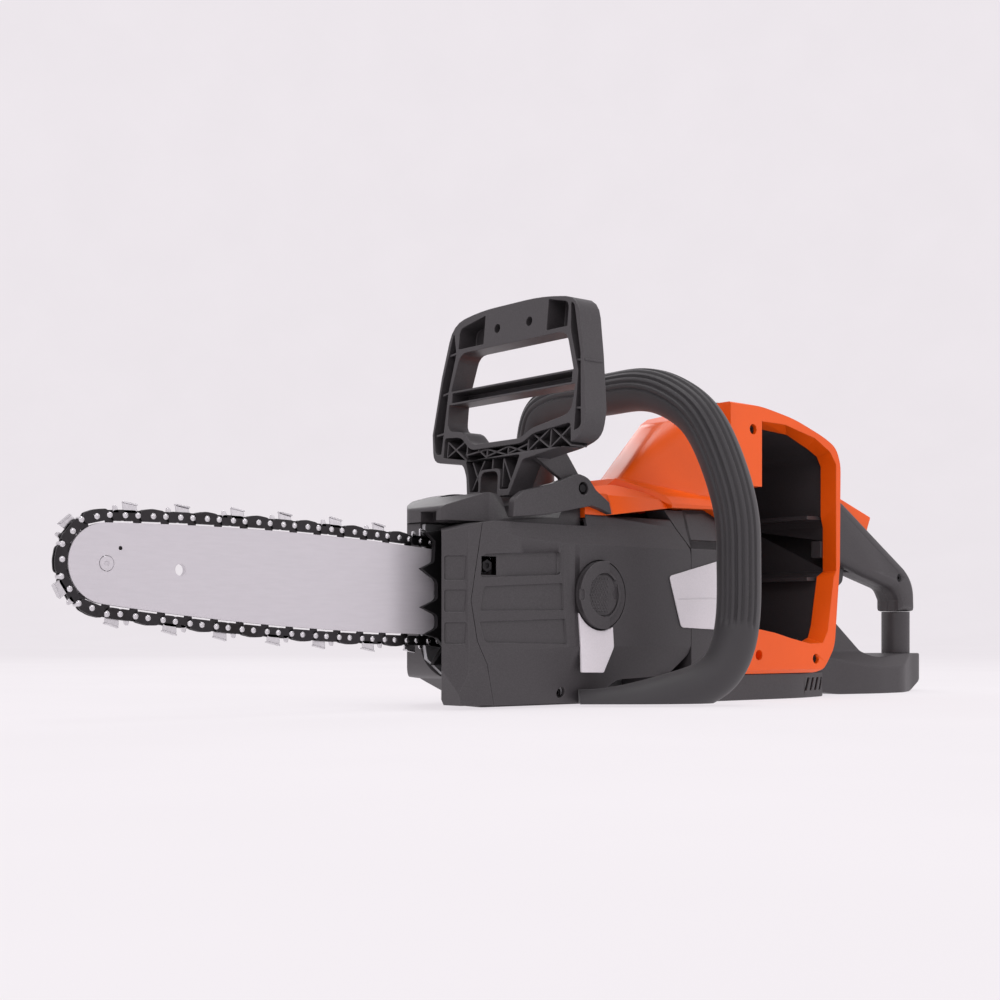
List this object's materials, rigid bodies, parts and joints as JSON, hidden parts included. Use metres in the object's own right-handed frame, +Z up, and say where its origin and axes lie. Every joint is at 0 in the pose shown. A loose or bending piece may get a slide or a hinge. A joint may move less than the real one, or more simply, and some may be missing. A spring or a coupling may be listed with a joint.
{
  "type": "battery chainsaw",
  "caption": "Battery chainsaw with a guide bar and chain, front hand guard, wraparound front handle, rear trigger handle and an empty side battery bay.",
  "frame": {"origin": "on the ground, in the middle plane of the guide bar, directly below the axis of the drive sprocket", "axes": "+X towards the rear handle, the guide bar points along -X; -Y is the side with the sprocket cover and the battery mouth; +Z up"},
  "size_m": [0.8801, 0.2379, 0.2955],
  "materials": {
    "dark_plastic": "fine-grained moulded housing plastic",
    "orange_plastic": "glossy moulded cover",
    "light_plastic": "smooth light grey plastic",
    "grip_rubber": "soft grooved grip rubber",
    "bar_steel": "satin light grey lacquer over steel",
    "chain_steel": "oiled dark steel with bright rivets",
    "bright_steel": "zinc-plated steel",
    "black_steel": "blackened steel",
    "cast_alloy": "die-cast alloy",
    "winding_copper": "lacquered copper winding",
    "board_green": "coated circuit board"
  },
  "bodies": {
    "saw_body": {"guide_bar": "bar_steel", "nose_rivet": "bar_steel", "saw_chain": "chain_steel", "bar_stud_front": "bright_steel", "bar_stud_rear": "bright_steel", "bumper_spikes": "black_steel", "drive_cover": "dark_plastic", "cover_tongue": "light_plastic", "label_plate": "light_plastic", "cover_front_band": "dark_plastic", "chassis_plate": "cast_alloy", "far_housing": "dark_plastic", "rear_side_panel": "dark_plastic", "front_deck": "dark_plastic", "brake_housing": "dark_plastic", "front_top_cover": "orange_plastic", "motor_cover": "orange_plastic", "base_tray": "dark_plastic", "rear_sill": "dark_plastic", "rear_shell": "dark_plastic", "battery_tub": "dark_plastic", "battery_contacts": "black_steel", "frame_screw_top": "black_steel", "frame_screw_low": "black_steel", "battery_frame": "orange_plastic", "far_cover": "orange_plastic", "keypad": "grip_rubber", "rear_handle_near": "dark_plastic", "rear_handle_far": "dark_plastic", "handle_screw": "black_steel", "grip_post": "dark_plastic", "rear_base": "dark_plastic", "trigger_pin": "bright_steel", "trigger_spring": "bright_steel", "lockout_pin": "bright_steel", "lockout_spring": "bright_steel", "trigger_switch": "grip_rubber", "front_handle": "grip_rubber", "guard_pin_near": "bright_steel", "guard_pin_far": "bright_steel", "cover_screw": "black_steel", "motor_stator": "winding_copper", "motor_can": "cast_alloy", "front_bearing": "bright_steel", "rear_bearing": "bright_steel", "oil_tank": "light_plastic", "oil_pump": "cast_alloy", "control_board": "board_green"},
    "drive_train": {"drive_sprocket": "black_steel", "motor_rotor": "bright_steel", "cooling_fan": "grip_rubber"},
    "nose_wheel": {"nose_sprocket": "black_steel"},
    "guard": {"hand_guard": "dark_plastic"},
    "knob": {"cover_knob": "dark_plastic"},
    "flap": {"knob_flap": "dark_plastic"},
    "trigger_lever": {"trigger": "grip_rubber"},
    "lockout_lever": {"trigger_lockout": "orange_plastic"},
    "oil_filler_cap": {"oil_cap": "dark_plastic"},
    "chain_tensioner": {"tension_screw": "black_steel"},
    "start_button": {"power_button": "light_plastic"}
  },
  "joints": [
    {"name": "sprocket_spin", "type": "hinge", "parent": "saw_body", "child": "drive_train", "pos_m": [0, 0, 0.078], "axis": [0, 1, 0], "continuous": true},
    {"name": "nose_spin", "type": "hinge", "parent": "saw_body", "child": "nose_wheel", "pos_m": [-0.33823, 0, 0.09573], "axis": [0, 1, 0], "continuous": true},
    {"name": "guard_pivot", "type": "hinge", "parent": "saw_body", "child": "guard", "pos_m": [0.015, 0, 0.159], "axis": [0, 1, 0], "range_deg": [-18, 0]},
    {"name": "knob_turn", "type": "hinge", "parent": "saw_body", "child": "knob", "pos_m": [0.031, -0.045, 0.0815], "axis": [0, 1, 0], "continuous": true},
    {"name": "flap_fold", "type": "hinge", "parent": "knob", "child": "flap", "pos_m": [0.035, -0.0516, 0.0815], "axis": [0, 0, 1], "range_deg": [0, 90]},
    {"name": "trigger_pull", "type": "hinge", "parent": "saw_body", "child": "trigger_lever", "pos_m": [0.346, 0.012, 0.1325], "axis": [0, 1, 0], "range_deg": [-12, 0], "stiffness_Nm_per_rad": 0.6, "springref_deg": 17.19},
    {"name": "lockout_press", "type": "hinge", "parent": "saw_body", "child": "lockout_lever", "pos_m": [0.344, 0.012, 0.176], "axis": [0, 1, 0], "range_deg": [0, 10], "stiffness_Nm_per_rad": 0.5, "springref_deg": -17.19},
    {"name": "oil_cap_turn", "type": "hinge", "parent": "saw_body", "child": "oil_filler_cap", "pos_m": [-0.014, 0.07, 0.028], "axis": [0, 1, 0], "continuous": true},
    {"name": "tension_turn", "type": "hinge", "parent": "saw_body", "child": "chain_tensioner", "pos_m": [-0.071, -0.03, 0.1005], "axis": [0, 1, 0], "continuous": true},
    {"name": "button_press", "type": "slide", "parent": "saw_body", "child": "start_button", "axis": [0, -1, 0], "range_m": [0, 0.0012], "stiffness_N_per_m": 400, "springref_m": -0.001}
  ],
  "couplings": [
    {"joint": "nose_spin", "follows": "sprocket_spin", "ratio": 0.66667}
  ]
}
